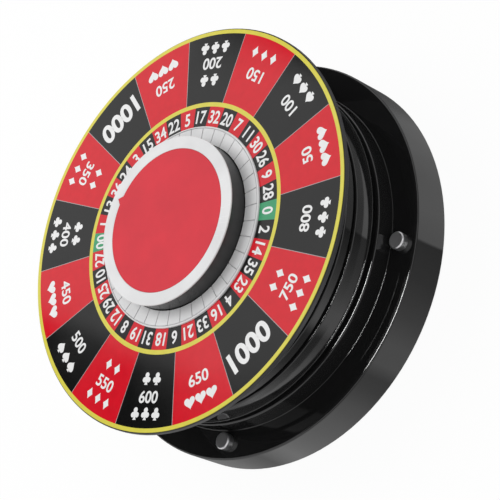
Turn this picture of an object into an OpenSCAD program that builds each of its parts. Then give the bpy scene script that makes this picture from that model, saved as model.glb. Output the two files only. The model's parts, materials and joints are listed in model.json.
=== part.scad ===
// Battery-driven table roulette.
// A printed disc turns round a fixed centre post, over a black housing with push buttons on its flange.
// Millimetres, +Z up, origin in the middle of the surface that the feet stand on.

/* [Base] */
// Outer diameter of the base
base_d = 212; // [206:1:240]
// Height of the flange above the bottom edge
flange_h = 21.7; // [20:0.1:30]
// Width of the flange that the buttons stand on
flange_w = 15; // [14.5:0.1:18]
// Height of the neck above the flange
neck_h = 11.2; // [8:0.1:16]
// Wall of the mouldings
wall = 2.5; // [2:0.1:3]
// Rounding of the flange's outer edge
base_edge_r = 1.4; // [0.6:0.1:2]
// Fillet at the foot of the neck
neck_fillet_r = 0.4; // [0.3:0.1:2.5]
// Width of the ledge inside the top of the neck
ledge_w = 11; // [9:0.5:13]
// How far the feet stand below the base
foot_h = 1.2; // [0.8:0.1:2]
// Diameter of a foot
foot_d = 14; // [10:0.5:16]
// Number of feet
foot_count = 6; // [4:1:8]
// Depth of the recess that holds a foot
foot_recess = 1; // [0.5:0.1:1.4]
// Distance from the base's edge to a foot's middle
foot_inset = 12; // [10:0.5:13]
// Thickness of the bottom cover
cover_t = 2; // [1.8:0.1:3]

/* [Upper housing] */
// How far the upper ring stands back from the neck's wall
ring_inset = 1; // [0:0.1:2]
// Height of the upper ring
ring_h = 12; // [10:0.1:16]
// Height of the groove under the ring
groove_h = 3.6; // [2:0.1:5]
// Depth of the groove, from the neck's wall
groove_depth = 4; // [3:0.1:5]
// Rounding of the ring's edges
ring_edge_r = 1.2; // [0.4:0.1:1.6]
// How far the bead at the ring's foot stands out
bead_w = 0.6; // [0.4:0.1:0.8]
// Height of the bead
bead_h = 0.8; // [0.6:0.1:1.2]
// Rounding of the bead's upper edge
bead_edge_r = 0.4; // [0.2:0.1:0.4]
// Gap between the dust lip on the deck and the skirt that turns round it
lip_gap = 0.8; // [0.6:0.1:1.2]

/* [Wheel] */
// Gap between the housing and the turning skirt
running_gap = 2.5; // [1.5:0.1:4]
// How far the skirt stands out past the upper ring
skirt_overhang = 0.2; // [0:0.1:2]
// Height of the skirt
skirt_h = 5.4; // [4:0.1:8]
// Rounding of the skirt's lower edge
skirt_edge_r = 0.3; // [0.2:0.1:0.8]
// Width of the step between the skirt and the platter's body
platter_step = 6.2; // [5:0.1:14]
// Height of the platter's body above the skirt
platter_h = 16.6; // [14:0.1:22]
// Thickness of the platter's web
web_t = 3; // [2:0.1:4]
// Number of ribs under the web
rib_count = 6; // [3:1:12]
// Thickness of a rib
rib_t = 2; // [1.5:0.1:3]
// Depth of a rib below the web
rib_h = 8; // [5:0.5:10]
// Diameter of the disc
disc_d = 211; // [200:1:230]
// Thickness of the disc
disc_t = 2.7; // [2:0.1:5]
// Rounding of the disc's edge
disc_edge_r = 0.6; // [0.2:0.1:0.9]
// Diameter of the hole in the disc's middle
disc_bore_d = 26; // [20:1:34]
// Diameter of the printed sheet
face_d = 209.6; // [180:0.2:209.6]
// Thickness of the printed sheet
face_t = 0.3; // [0.1:0.05:0.5]

/* [Pocket ring] */
// Width of the pocket ring
pocket_w = 9; // [7:0.1:14]
// Height of the ring at its outer edge
pocket_h = 1.2; // [0.9:0.1:2]
// Height of the ring at its inner edge
pocket_inner_h = 0.7; // [0.6:0.1:1]
// Number of pockets
pocket_count = 38; // [12:1:38]
// Width of the groove between two pockets
pocket_groove_w = 0.5; // [0.3:0.1:1]
// Depth of that groove
pocket_groove_depth = 0.35; // [0.2:0.05:0.5]
// Width of the plain rim outside the pockets
pocket_rim_w = 0.9; // [0.7:0.1:1.5]
// Width of the groove inside that rim
rim_groove_w = 0.3; // [0.2:0.1:0.5]
// Turn of the first groove
pocket_angle = 7.4; // [0:0.1:9]
// Diameter of the pegs through the disc
ring_peg_d = 5; // [4:0.5:6]

/* [Centre cap] */
// Height of the cap's top above the printed face
knob_h = 11.2; // [9:0.1:18]
// Diameter of the drum
drum_d = 86.4; // [80:0.2:87]
// Wall of the drum
drum_wall = 2.2; // [1.6:0.1:3]
// Running gap under the drum and round it
drum_gap = 0.4; // [0.3:0.1:0.6]
// How far the cap stands out past the drum
cap_overhang = 0.8; // [0.2:0.1:2]
// Thickness of the cap
cap_t = 0.9; // [0.8:0.1:2]
// Rounding of the cap's edges
cap_edge_r = 0.3; // [0.2:0.1:0.4]
// Width of the white rim round the inlay
rim_w = 6.7; // [5:0.1:12]
// Thickness of the inlay
inlay_t = 0.5; // [0.3:0.1:0.5]
// Direction that the arrow points in
arrow_angle = 158.4; // [0:0.1:360]
// How far the arrow reaches past the inlay's edge
arrow_reach = 2.8; // [1:0.1:4]
// Width of the arrow where it leaves the inlay
arrow_w = 4.6; // [2:0.1:8]
// Diameter of the pegs under the cap
cap_peg_d = 3; // [2:0.1:4]
// Length of those pegs
cap_peg_l = 2; // [1:0.1:2.2]
// Diameter of the circle of those pegs
cap_peg_pcd = 50; // [30:1:70]

/* [Spindle and bearings] */
// Diameter of the spindle
spindle_d = 8; // [6:0.5:9]
// Diameter of the spindle's upper end
spindle_end_d = 6; // [5:0.5:6]
// Depth of the flat on that end
end_flat = 0.9; // [0.5:0.1:1]
// Width of the spindle's collar
collar_w = 3; // [2:0.1:4]
// Thickness of the collar
collar_t = 1.5; // [1:0.1:3]
// Wall of the bushes
bush_wall = 2; // [1.5:0.1:3]
// Length of the lower bush
lower_bush_l = 10; // [8:0.5:12]
// Length of the upper bush
upper_bush_l = 8; // [5:0.5:9]
// Thickness of the lower bush's flange
bush_flange_t = 1.5; // [1:0.1:2.5]
// Width of the lower bush's flange
bush_flange_w = 2; // [1:0.1:3]
// Wall of the platter's hub
hub_wall = 6; // [5:0.1:8]
// Thickness of the thrust washer
washer_t = 1; // [0.5:0.1:2]
// Thickness of the spring clip and the washer under it
clip_t = 0.8; // [0.5:0.1:1]
// Depth of the clip's groove
clip_groove = 0.6; // [0.3:0.1:0.8]
// Width of the washers and the clip
washer_w = 3; // [2:0.1:4]
// Wall of the tower that holds the spindle
tower_wall = 5; // [4:0.1:7]
// Height of the tower
tower_h = 10; // [8:0.5:12]
// Width of the spindle's nut across its flats
nut_w = 13; // [12:0.5:15]
// Thickness of the nut
nut_t = 5; // [3:0.1:7]

/* [Drive] */
// Module of the gears
gear_module = 1; // [0.8:0.1:1.2]
// Teeth on the wheel's gear
wheel_teeth = 60; // [48:12:72]
// Teeth on the motor's pinion
pinion_teeth = 12; // [12:2:16]
// Thickness of the wheel's gear
gear_t = 5; // [4:0.5:6]
// Diameter of the motor
motor_d = 24.4; // [20:0.1:28]
// Height of the motor with its end cap
motor_h = 12.3; // [10:0.1:16]
// Thickness of the motor's end cap
motor_cap_t = 1.6; // [1:0.1:3]
// Diameter of the motor's boss
motor_boss_d = 6; // [5:0.1:7]
// Diameter of the motor's shaft
motor_shaft_d = 2; // [1.5:0.1:2.4]
// Distance between the motor's screws
motor_screw_gap = 17; // [14:0.5:19]
// Direction from the spindle to the motor
motor_angle = 60; // [40:1:80]

/* [Buttons] */
// Diameter of a button
button_d = 8.9; // [8:0.1:10]
// How far a button stands above the flange
button_h = 4; // [3:0.1:6]
// How far a button travels
button_travel = 2; // [1:0.1:2.5]
// Distance from the base's edge to a button's middle
button_inset = 9.1; // [8.8:0.1:10]
// Chamfer round a button's top
button_chamfer = 0.6; // [0.4:0.1:1.2]
// Thickness of the collar that keeps a button in
button_collar_t = 1; // [0.8:0.1:1.5]
// Width of that collar
button_collar_w = 1.2; // [0.8:0.1:1.5]
// Thickness of a spring's wire
spring_wire = 0.7; // [0.5:0.1:0.8]
// Turns of a spring
spring_turns = 4; // [3:1:4]
// Width of a push switch
switch_w = 6; // [5:0.1:6.2]
// Height of a push switch with its plunger
switch_h = 3.9; // [3:0.1:5]
// Diameter of its plunger
plunger_d = 3.4; // [2:0.1:3.6]
// Height of its plunger
plunger_h = 0.6; // [0.4:0.1:1]

/* [Electrics] */
// Diameter of a battery
cell_d = 14.5; // [14:0.1:15]
// Length of a battery
cell_l = 50.5; // [49:0.1:51]
// Diameter of a battery's positive cap
cell_cap_d = 5.5; // [4:0.1:6]
// Height of that cap
cell_cap_h = 1.2; // [1:0.1:1.6]
// Wall of the battery compartment
box_wall = 1.8; // [1.2:0.1:2.5]
// Distance from the middle to the battery compartment
box_offset = 13; // [12:0.5:16]
// Free length of a battery spring
contact_spring_l = 4.4; // [3:0.1:6]
// Thickness of a battery contact
contact_t = 0.5; // [0.3:0.1:0.8]
// Width of a battery contact
contact_w = 11; // [8:0.5:13]
// Thickness of the battery door's rim
door_rim_t = 1; // [0.8:0.1:1.2]
// Width of the battery door's rim
door_rim_w = 1.5; // [1:0.1:3]
// Length of the battery door's ear
door_ear_l = 8; // [7:0.5:10]
// Thickness of the circuit boards
board_t = 1.6; // [1:0.1:2]
// Width of the control board
board_w = 42; // [36:1:46]
// Length of the control board
board_l = 60; // [52:1:66]
// Distance from the middle to the control board
board_offset = 15; // [12:0.5:18]
// Height of the posts under the control board
post_h = 5; // [4.5:0.1:7]
// Travel of the power switch
slider_travel = 3; // [2:0.1:3.5]
// Diameter of a wire
wire_d = 1.4; // [1:0.1:1.6]

/* [Fasteners] */
// Diameter of the case screws
case_screw_d = 3; // [2.5:0.1:3.4]
// Thread of a case screw in the upper housing
case_thread_l = 9; // [6:0.5:10]
// Number of case screws
case_screw_count = 6; // [3:1:6]
// Diameter of the small screws
small_screw_d = 2; // [1.6:0.1:2.2]
// Thread of a small screw
small_thread_l = 5; // [3:0.5:5]
// Diameter of a screw boss
boss_d = 8.4; // [8:0.1:10]
// Distance from the neck's wall to a case screw
boss_inset = 9; // [8.5:0.1:10]

/* [Hidden] */
$fn = 64;

// Directions of things that come in threes
thirds = [0, 120, 240];

// Clearances
fit_gap = 0.05;
running_fit = 0.08;
seat_gap = 0.1;
loose_gap = 0.3;
overlap = 1;

// Radii of the turned shapes
base_r = base_d / 2;
neck_r = base_r - flange_w;
ring_r = neck_r - ring_inset;
skirt_r = ring_r + skirt_overhang;
platter_r = skirt_r - platter_step;
disc_r = disc_d / 2;
disc_bore_r = disc_bore_d / 2;
drum_r = drum_d / 2;
cap_r = drum_r + cap_overhang;
inlay_r = cap_r - rim_w;
spindle_r = spindle_d / 2;
spindle_end_r = spindle_end_d / 2;
bush_r = spindle_r + bush_wall;
hub_r = bush_r + hub_wall;
tower_r = spindle_r + tower_wall;
ledge_r = neck_r - ledge_w;
groove_r = neck_r - groove_depth;
cover_r = base_r - wall - loose_gap;

// Levels of the housing
base_z = foot_h;
cover_z = base_z + cover_t;
flange_z = base_z + flange_h;
neck_z = flange_z + neck_h;
ring_z = neck_z + groove_h;
deck_z = ring_z + ring_h;
deck_under_z = deck_z - wall;
tower_z = deck_z - tower_h;

// Levels of the wheel
skirt_z = deck_z + running_gap;
ledge_z = skirt_z + skirt_h;
disc_z = ledge_z + platter_h;
web_z = disc_z - web_t;
face_z = disc_z + disc_t + face_t;
collar_z = deck_z + collar_t;
thrust_z = collar_z + washer_t;
bush_z = thrust_z + fit_gap;
gear_z = bush_z + bush_flange_t;
hub_z = gear_z + gear_t;
clip_washer_z = disc_z + fit_gap;
clip_z = clip_washer_z + clip_t + fit_gap;

// Dust lip on the deck, inside the skirt
lip_r = skirt_r - wall - lip_gap;
lip_z = ledge_z - wall - lip_gap;

// Levels of the centre cap
drum_z = face_z + drum_gap;
cap_top_z = face_z + knob_h;
cap_z = cap_top_z - cap_t;

// Screw heads, as shares of the screw's diameter
head_spread = 1.85;
case_head_share = 0.67;
small_head_share = 0.6;
case_head_d = head_spread * case_screw_d;
case_head_h = case_head_share * case_screw_d;
small_head_d = head_spread * small_screw_d;
small_head_h = small_head_share * small_screw_d;

// Case screws
boss_r = boss_d / 2;
boss_circle = neck_r - boss_inset;
pillar_h = 3;
boss_z = cover_z + pillar_h;
pillar_r = case_head_d / 2 + loose_gap + box_wall;
case_seat_z = boss_z - cover_t;
case_tip_z = neck_z + case_thread_l;
case_angles = [for (i = [0:case_screw_count - 1]) 360 * i / case_screw_count];
foot_angles = [for (i = [0:foot_count - 1]) 360 * (i + 0.5) / foot_count];
foot_circle = base_r - foot_inset;

// Knob screw and the drum's top
drum_top_t = 2.4;
drum_boss_wall = 3.5;
drum_boss_r = spindle_end_r + drum_boss_wall;
knob_seat_z = cap_z - case_head_h - seat_gap;
spindle_top_z = knob_seat_z - overlap;
knob_screw_l = 9;
spindle_tail = 2;

// Gears
pressure_angle = 20;
addendum_share = 0.7;
backlash_share = 0.15;
addendum = addendum_share * gear_module;
dedendum = gear_module;
backlash = backlash_share * gear_module;
wheel_pitch_r = gear_module * wheel_teeth / 2;
pinion_pitch_r = gear_module * pinion_teeth / 2;
gear_centres = wheel_pitch_r + pinion_pitch_r;
pinion_overhang = 0.5;
gear_screw_circle = bush_r + hub_wall / 2;
gear_screw_angles = [for (a = thirds) a + 30];
gear_seat_z = gear_z + small_head_h + seat_gap;

// Motor
motor_x = gear_centres * cos(motor_angle);
motor_y = gear_centres * sin(motor_angle);
motor_z = deck_under_z - motor_h;
motor_boss_short = 1;
motor_boss_h = wall - motor_boss_short;
shaft_depth = 7;
motor_thread_l = 3;
motor_step = 0.6;

// Pegs and screws of the pocket ring
pocket_bore_r = drum_r + drum_gap;
pocket_r = pocket_bore_r + pocket_w;
ring_peg_circle = (pocket_r + pocket_bore_r) / 2;
ring_peg_count = 4;
ring_peg_angles = [for (i = [0:ring_peg_count - 1]) 45 + 360 * i / ring_peg_count];
face_hole_d = ring_peg_d + 2 * seat_gap;

// Buttons
button_count = 4;
button_r = button_d / 2;
button_circle = base_r - button_inset;
button_collar_z = flange_z - wall - seat_gap - button_collar_t;
button_board_z = button_collar_z - button_travel - seat_gap - switch_h;
button_board_under_z = button_board_z - board_t;
button_board_w = 13;
button_angles = [for (i = [0:button_count - 1]) 360 * i / button_count];
spring_r = button_r + button_collar_w - spring_wire;
spring_sides = 8;
button_post_d = 6;
button_post_angles = [for (i = [0:button_count - 1]) 360 * (i + 0.5) / button_count];

// Battery compartment
cell_count = 3;
cell_gap = 0.5;
cell_pitch = cell_d + cell_gap;
box_in_w = cell_count * cell_pitch + seat_gap;
box_in_l = cell_l + contact_spring_l + 2 * contact_t + 2 * fit_gap;
box_in_h = cell_d + 2 * loose_gap;
box_x = -(box_offset + box_wall + box_in_w / 2);
box_top_z = cover_z + box_in_h + box_wall;
cell_z = cover_z + loose_gap + cell_d / 2;
contact_margin = 1.5;
contact_h = cell_d - 2 * contact_margin;
contact_wire = 1;
contact_coil_r = contact_w / 2 - contact_wire / 2;
contact_tip_r = contact_coil_r / 2;
contact_tip = contact_t + contact_spring_l;
door_ear_w = 10;
door_screw_y = box_in_l / 2 + door_rim_w + door_ear_l / 2;
door_screw_tip_z = base_z + door_rim_t + small_thread_l;
door_head_gap = 0.2;
door_head_h = foot_h - door_head_gap;

// Control board
board_x = board_offset + board_w / 2;
board_z = cover_z + post_h;
board_top_z = board_z + board_t;
board_hole_inset = 3.5;
post_d = 5.5;
chip_size = [12, 12, 1.6];
capacitor_d = 8;
capacitor_h = 12;
capacitor_spot = [13, 12];
connector_size = [6, 8, 6];
connector_top_z = board_top_z + connector_size.z;
connector_spots = [[-12, -18], [-12, 18], [12, -18]];

// Power switch
switch_body = [5, 12, 3.8];
switch_y = 15;
slider_knob = [3, 3];
slider_window = [slider_knob.x, slider_knob.y + slider_travel, cover_t];
slider_stem = 1.8;
slider_start_y = switch_y - slider_travel / 2;
slider_wall = 1;

// Wires: how far the two wires of a pair lie apart, and points along each pair's middle
wire_gap = 1;
stub = 2;
lead_exit_z = 14;
lead_top_z = flange_z - wall - wire_d;
battery_end = [board_x + connector_spots[0].x, connector_spots[0].y, connector_top_z];
battery_start = [-box_offset, battery_end.y, lead_exit_z];
battery_route = [battery_start, battery_start + [stub, 0, 0], battery_start + [8, 0, 2],
    battery_start + [18, 0, 6], battery_end + [-5, 0, 4.7], battery_end + [0, 0, stub], battery_end];
motor_start = [board_x + connector_spots[1].x, connector_spots[1].y, connector_top_z];
motor_end = [motor_x + 2, motor_y - 2, motor_z];
motor_route = [motor_start, motor_start + [0, 0, stub], motor_start + [-1, 3, 6],
    motor_end + [1, -3, -6], motor_end - [0, 0, stub], motor_end];
button_start = [board_x + connector_spots[2].x, connector_spots[2].y, connector_top_z];
button_lead_angle = -20;
button_end = [button_circle * cos(button_lead_angle), button_circle * sin(button_lead_angle),
    button_board_z];
button_route = [button_start, button_start + [0, 0, stub], button_start + [6, -2, 4],
    [button_end.x - 18, button_end.y + 7, lead_top_z], button_end + [-6, 2.5, 4.2],
    button_end + [0, 0, stub], button_end];

// Points on an arc round a middle point
function arc(middle, r, from, to, steps = 6) =
    [for (i = [0:steps]) let (a = from + (to - from) * i / steps) middle + r * [cos(a), sin(a)]];

// Involute gear outline
function involute(r, base) = r > base ? sqrt(r * r / base / base - 1) * 180 / PI - acos(base / r) : 0;
function tooth_half(r, teeth) =
    let (pitch = gear_module * teeth / 2, base = pitch * cos(pressure_angle))
    (PI * gear_module / 2 - backlash) / pitch * 90 / PI + involute(pitch, base) - involute(r, base);
function tooth(teeth, steps = 4) =
    let (pitch = gear_module * teeth / 2, root = pitch - dedendum, tip = pitch + addendum,
        foot = max(root, pitch * cos(pressure_angle)),
        radii = concat(root < foot ? [root] : [], [for (i = [0:steps]) foot + (tip - foot) * i / steps]))
    concat([for (r = radii) [r, -tooth_half(max(r, foot), teeth)]],
        [for (i = [len(radii) - 1:-1:0]) [radii[i], tooth_half(max(radii[i], foot), teeth)]]);
function gear_outline(teeth) =
    [for (i = [0:teeth - 1], p = tooth(teeth)) let (a = p.y + 360 * i / teeth) p.x * [cos(a), sin(a)]];

// Smooth curve through points, and a round tube along it
function spline_point(a, b, c, d, t) =
    0.5 * (2 * b + (c - a) * t + (2 * a - 5 * b + 4 * c - d) * t * t + (3 * b - a - 3 * c + d) * t * t * t);
function smooth(p, steps) = let (last = len(p) - 1) concat(
    [for (i = [0:last - 1], k = [0:steps - 1])
        spline_point(p[max(i - 1, 0)], p[i], p[i + 1], p[min(i + 2, last)], k / steps)], [p[last]]);
function unit(v) = v / norm(v);
function along(p, i) = unit(p[min(i + 1, len(p) - 1)] - p[max(i - 1, 0)]);
function ring_of(middle, direction, aside, r, sides) =
    let (u = unit(cross(direction, aside)), v = cross(direction, u))
    [for (k = [0:sides - 1]) middle + r * (u * cos(360 * k / sides) + v * sin(360 * k / sides))];

module tube(path, r, sides, aside) {
    last = len(path) - 1;
    points = [for (i = [0:last]) each ring_of(path[i], along(path, i), aside, r, sides)];
    walls = [for (i = [0:last - 1], k = [0:sides - 1])
        let (a = i * sides + k, b = i * sides + (k + 1) % sides)
        each [[a, a + sides, b + sides], [a, b + sides, b]]];
    ends = [[for (k = [0:sides - 1]) k], [for (k = [sides - 1:-1:0]) last * sides + k]];
    polyhedron(points, concat(walls, ends));
}

// Shapes that repeat
module turned(outline) {
    rotate_extrude() polygon(outline);
}

module at_polar(circle_r, angle) {
    rotate(angle) translate([circle_r, 0, 0]) children();
}

module at_each(circle_r, angles) {
    for (a = angles) at_polar(circle_r, a) children();
}

module at_board_corners() {
    for (x = [-1, 1], y = [-1, 1])
        translate([board_x + x * (board_w / 2 - board_hole_inset), y * (board_l / 2 - board_hole_inset), 0])
            children();
}

module pipe(r, bore, from, to) {
    turned([[bore, from], [r, from], [r, to], [bore, to]]);
}

module hole(r, from, to) {
    translate([0, 0, from]) cylinder(r = r, h = to - from);
}

module block(size, from) {
    translate([-size.x / 2, -size.y / 2, from]) cube(size);
}

// A pan-head screw whose seat is at the height given, with the shank running up or down
module screw(d, head_d, head_h, seat, length, up = true) {
    translate([0, 0, seat]) mirror([0, 0, up ? 0 : 1]) {
        translate([0, 0, -head_h]) cylinder(d = head_d, h = head_h);
        cylinder(d = d, h = length);
    }
}

// Two wires side by side along a route whose first and last stretches are straight
module wire_pair(route, steps) {
    last = len(route) - 1;
    path = concat([route[0]], smooth([for (i = [1:last - 1]) route[i]], steps), [route[last]]);
    aside = unit(cross(route[last] - route[0], [0, 0, 1]));
    for (side = [-1, 1]) {
        shift = side * (wire_d + wire_gap) / 2 * aside;
        tube([for (p = path) p + shift], wire_d / 2, 8, aside);
    }
}

// Housing
module base_shell() {
    inner_r = base_r - wall;
    color("#202022") difference() {
        union() {
            turned(concat([[inner_r, base_z], [base_r, base_z]],
                arc([base_r - base_edge_r, flange_z - base_edge_r], base_edge_r, 0, 90),
                arc([neck_r + neck_fillet_r, flange_z + neck_fillet_r], neck_fillet_r, 270, 180),
                arc([neck_r - ring_edge_r, neck_z - ring_edge_r], ring_edge_r, 0, 90),
                [[ledge_r, neck_z], [ledge_r, neck_z - wall], [neck_r - wall, neck_z - wall],
                    [neck_r - wall, flange_z - wall], [inner_r, flange_z - wall]]));
            for (a = case_angles) rotate(a) {
                translate([boss_circle, 0, 0]) hole(boss_r, boss_z, neck_z);
                translate([boss_circle, -wall / 2, flange_z - wall])
                    cube([neck_r - wall / 2 - boss_circle, wall, neck_h + wall / 2]);
            }
            at_each(button_circle, button_post_angles)
                hole(button_post_d / 2, button_board_z, flange_z - wall / 2);
        }
        at_each(boss_circle, case_angles)
            hole(case_screw_d / 2 + loose_gap / 2, boss_z - overlap, neck_z + overlap);
        at_each(button_circle, button_angles)
            hole(button_r + running_fit, flange_z - wall - overlap, flange_z + overlap);
        at_each(button_circle, button_post_angles)
            hole(small_screw_d / 2 + fit_gap, button_board_z - overlap, button_board_z + small_thread_l);
    }
}

module upper_housing() {
    foot_in_r = groove_r - wall;
    color("#1c1c1e") difference() {
        union() {
            turned(concat([[foot_in_r, neck_z], [groove_r, neck_z], [groove_r, ring_z]],
                [[ring_r + bead_w, ring_z]],
                arc([ring_r + bead_w - bead_edge_r, ring_z + bead_h - bead_edge_r], bead_edge_r, 0, 90),
                [[ring_r, ring_z + bead_h]],
                arc([ring_r - ring_edge_r, deck_z - ring_edge_r], ring_edge_r, 0, 90),
                [[lip_r, deck_z], [lip_r, lip_z], [lip_r - wall, lip_z], [lip_r - wall, deck_z],
                    [spindle_r + fit_gap, deck_z], [spindle_r + fit_gap, tower_z], [tower_r, tower_z],
                    [tower_r, deck_under_z], [ring_r - wall, deck_under_z], [ring_r - wall, ring_z + wall],
                    [foot_in_r, ring_z + wall]]));
            at_each(boss_circle, case_angles) hole(boss_r, neck_z + seat_gap, deck_z - wall / 2);
        }
        at_each(boss_circle, case_angles)
            hole(case_screw_d / 2 + fit_gap, neck_z - overlap, case_tip_z + seat_gap);
        at_motor() hole(motor_boss_d / 2 + seat_gap, deck_under_z - overlap, deck_z + overlap);
        at_motor_screws() hole(small_screw_d / 2 + fit_gap, deck_under_z - overlap, deck_z + overlap);
    }
}

module bottom_cover() {
    color("#242426") difference() {
        union() {
            hole(cover_r, base_z, cover_z);
            at_each(boss_circle, case_angles) hole(pillar_r, base_z, boss_z);
            translate([box_x, 0, 0]) {
                block([box_in_w + 2 * box_wall, box_in_l + 2 * box_wall, box_top_z - base_z], base_z);
                translate([0, door_screw_y, 0]) hole(post_d / 2, base_z, cover_z + small_thread_l);
            }
            at_board_corners() hole(post_d / 2, base_z, board_z);
        }
        at_each(boss_circle, case_angles) {
            hole(case_head_d / 2 + loose_gap, base_z - overlap, case_seat_z);
            hole(case_screw_d / 2 + loose_gap / 2, base_z, boss_z + overlap);
        }
        at_each(foot_circle, foot_angles)
            hole(foot_d / 2 + seat_gap, base_z - overlap, base_z + foot_recess);
        translate([box_x, 0, 0]) {
            block([box_in_w, box_in_l, cover_t + box_in_h + overlap], base_z - overlap);
            door_outline(loose_gap, base_z - overlap, base_z + door_rim_t);
            translate([0, door_screw_y, 0])
                hole(small_screw_d / 2 + fit_gap, base_z - overlap, door_screw_tip_z + seat_gap);
        }
        at_board_corners()
            hole(small_screw_d / 2 + fit_gap, board_top_z - small_thread_l - seat_gap, board_z + overlap);
        translate([board_x, switch_y, 0])
            block(slider_window + 2 * [loose_gap, loose_gap, overlap], base_z - overlap);
    }
}

// Rim and ear of the battery door, grown by a gap
module door_outline(gap, from, to) {
    block([box_in_w + 2 * (door_rim_w + gap), box_in_l + 2 * (door_rim_w + gap), to - from], from);
    translate([0, door_screw_y - door_ear_l / 4, 0])
        block([door_ear_w + 2 * gap, door_ear_l * 1.5 + 2 * gap, to - from], from);
}

module battery_door() {
    color("#242426") translate([box_x, 0, 0]) difference() {
        union() {
            door_outline(0, base_z, base_z + door_rim_t);
            block([box_in_w - 2 * loose_gap, box_in_l - 2 * loose_gap, cover_t], base_z);
        }
        translate([0, door_screw_y, 0])
            hole(small_screw_d / 2 + seat_gap, base_z - overlap, base_z + door_rim_t + overlap);
    }
}

module door_screw() {
    color("silver") translate([box_x, door_screw_y, 0])
        screw(small_screw_d, small_head_d, door_head_h, base_z, door_screw_tip_z - base_z);
}

module rubber_feet() {
    color("#151515") at_each(foot_circle, foot_angles) hole(foot_d / 2, 0, base_z + foot_recess);
}

module case_screws() {
    color("silver") at_each(boss_circle, case_angles)
        screw(case_screw_d, case_head_d, case_head_h, case_seat_z, case_tip_z - case_seat_z);
}

// Centre post and what the wheel runs on
module spindle() {
    foot_z = tower_z - nut_t - spindle_tail;
    groove_bottom_r = spindle_r - clip_groove;
    color("lightsteelblue") difference() {
        union() {
            turned([[0, foot_z], [spindle_r, foot_z], [spindle_r, deck_z], [spindle_r + collar_w, deck_z],
                [spindle_r + collar_w, collar_z], [spindle_r, collar_z], [spindle_r, clip_z - fit_gap],
                [groove_bottom_r, clip_z - fit_gap], [groove_bottom_r, clip_z + clip_t + fit_gap],
                [spindle_r, clip_z + clip_t + fit_gap], [spindle_r, drum_z], [0, drum_z]]);
            translate([0, 0, drum_z]) linear_extrude(spindle_top_z - drum_z) d_shape(spindle_end_r);
        }
        hole(case_screw_d / 2 + fit_gap, knob_seat_z - knob_screw_l - seat_gap, spindle_top_z + overlap);
    }
}

// Circle with a flat on one side
module d_shape(r) {
    intersection() {
        circle(r);
        translate([-r - end_flat, -r]) square(2 * r);
    }
}

module spindle_nut() {
    color("silver") difference() {
        translate([0, 0, tower_z - nut_t]) cylinder(d = nut_w / cos(30), h = nut_t, $fn = 6);
        hole(spindle_r + fit_gap, tower_z - nut_t - overlap, tower_z + overlap);
    }
}

module thrust_washer() {
    color("ivory") pipe(spindle_r + washer_w, spindle_r + fit_gap, collar_z, thrust_z);
}

module top_washer() {
    color("ivory") pipe(spindle_r + washer_w, spindle_r + fit_gap, clip_washer_z, clip_washer_z + clip_t);
}

module spindle_clip() {
    bore_r = spindle_r - clip_groove + fit_gap;
    slot_w = 1.6 * bore_r;
    color("dimgray") difference() {
        pipe(spindle_r + washer_w, bore_r, clip_z, clip_z + clip_t);
        translate([0, -slot_w / 2, clip_z - overlap])
            cube([spindle_r + washer_w + overlap, slot_w, clip_t + 2 * overlap]);
    }
}

// Centre cap
module knob_drum() {
    color("#333335") difference() {
        union() {
            turned([[0, cap_z - drum_top_t], [drum_r - drum_wall, cap_z - drum_top_t],
                [drum_r - drum_wall, drum_z], [drum_r, drum_z], [drum_r, cap_z], [0, cap_z]]);
            hole(drum_boss_r, drum_z, cap_z - drum_top_t / 2);
        }
        translate([0, 0, drum_z - overlap]) linear_extrude(spindle_top_z + seat_gap - drum_z + overlap)
            d_shape(spindle_end_r + fit_gap);
        hole(case_screw_d / 2 + fit_gap, drum_z, cap_z + overlap);
        hole(case_head_d / 2 + seat_gap, knob_seat_z, cap_z + overlap);
        at_each(cap_peg_pcd / 2, thirds)
            hole(cap_peg_d / 2 + fit_gap, cap_z - cap_peg_l - seat_gap, cap_z + overlap);
    }
}

// Round inlay with its arrow, grown by a gap
module inlay_outline(gap) {
    circle(inlay_r + gap);
    rotate(arrow_angle) polygon([[inlay_r - arrow_reach, -arrow_w - gap], [inlay_r + arrow_reach + gap, 0],
        [inlay_r - arrow_reach, arrow_w + gap]]);
}

module knob_cap() {
    color("#e8e8e8") difference() {
        union() {
            turned(concat([[0, cap_z]],
                arc([cap_r - cap_edge_r, cap_z + cap_edge_r], cap_edge_r, 270, 360),
                arc([cap_r - cap_edge_r, cap_top_z - cap_edge_r], cap_edge_r, 0, 90), [[0, cap_top_z]]));
            at_each(cap_peg_pcd / 2, thirds) hole(cap_peg_d / 2, cap_z - cap_peg_l, cap_z + cap_t / 2);
        }
        translate([0, 0, cap_top_z - inlay_t]) linear_extrude(inlay_t + overlap) inlay_outline(seat_gap);
    }
}

module knob_inlay() {
    color("#d23c48") translate([0, 0, cap_top_z - inlay_t]) linear_extrude(inlay_t) inlay_outline(0);
}

module knob_screw() {
    color("silver") screw(case_screw_d, case_head_d, case_head_h, knob_seat_z, knob_screw_l, up = false);
}

// Motor
module at_motor() {
    at_polar(gear_centres, motor_angle) children();
}

module at_motor_screws() {
    at_motor() for (side = [-1, 1]) translate([0, side * motor_screw_gap / 2, 0]) children();
}

module motor_can() {
    color("silver") difference() {
        at_motor() {
            hole(motor_d / 2, motor_z + motor_cap_t, deck_under_z);
            hole(motor_boss_d / 2, motor_z + motor_cap_t, deck_under_z + motor_boss_h);
        }
        at_motor() hole(motor_shaft_d / 2 + running_fit, deck_under_z - shaft_depth - seat_gap, deck_z);
        at_motor_screws() hole(small_screw_d / 2 + fit_gap, deck_under_z - motor_thread_l - seat_gap, deck_z);
    }
}

module motor_end_cap() {
    color("white") at_motor() hole(motor_d / 2 - motor_step, motor_z, motor_z + motor_cap_t);
}

module motor_screws() {
    color("silver") at_motor_screws()
        screw(small_screw_d, small_head_d, small_head_h, deck_z, wall + motor_thread_l, up = false);
}

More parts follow.
